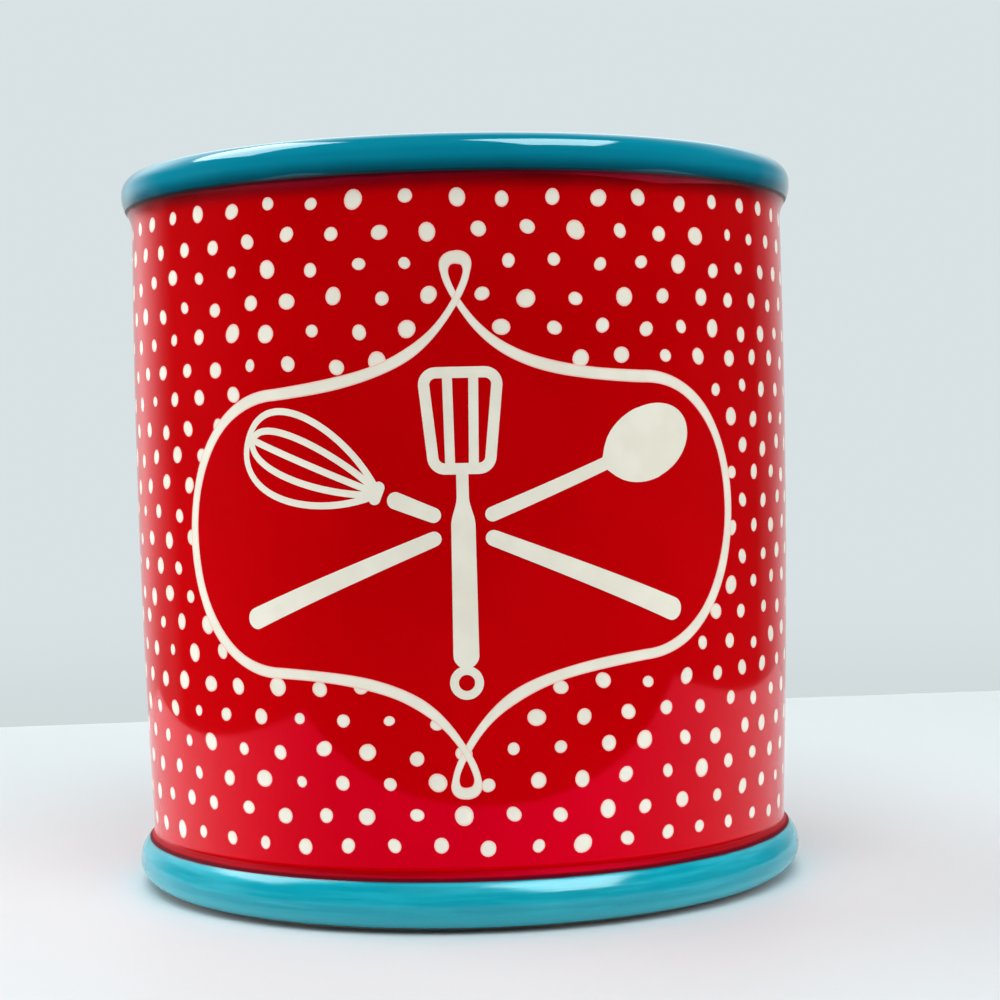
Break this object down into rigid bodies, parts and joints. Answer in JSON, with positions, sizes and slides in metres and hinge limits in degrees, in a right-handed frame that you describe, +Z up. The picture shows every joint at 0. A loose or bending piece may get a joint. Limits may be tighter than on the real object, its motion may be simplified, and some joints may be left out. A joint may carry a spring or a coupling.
{
  "type": "utensil crock",
  "caption": "Round glazed stoneware crock with a rolled rim and foot, open at the top, for standing kitchen utensils in.",
  "frame": {"origin": "on the table, at the centre of the foot ring", "axes": "+Z up along the crock's axis; the framed front faces -Y"},
  "size_m": [0.1648, 0.1648, 0.1724],
  "materials": {
    "bare_clay": "unglazed fired stoneware, fine grained and matt",
    "turquoise_glaze": "glossy turquoise glaze, pooling darker in the coves",
    "red_glaze": "glossy opaque red glaze",
    "white_glaze": "glossy warm white glaze and enamel"
  },
  "bodies": {
    "root": {"stoneware_body": "bare_clay", "rim_glaze": "turquoise_glaze", "wall_glaze": "red_glaze", "foot_glaze": "turquoise_glaze", "liner_glaze": "white_glaze", "underside_glaze": "white_glaze"}
  },
  "joints": []
}
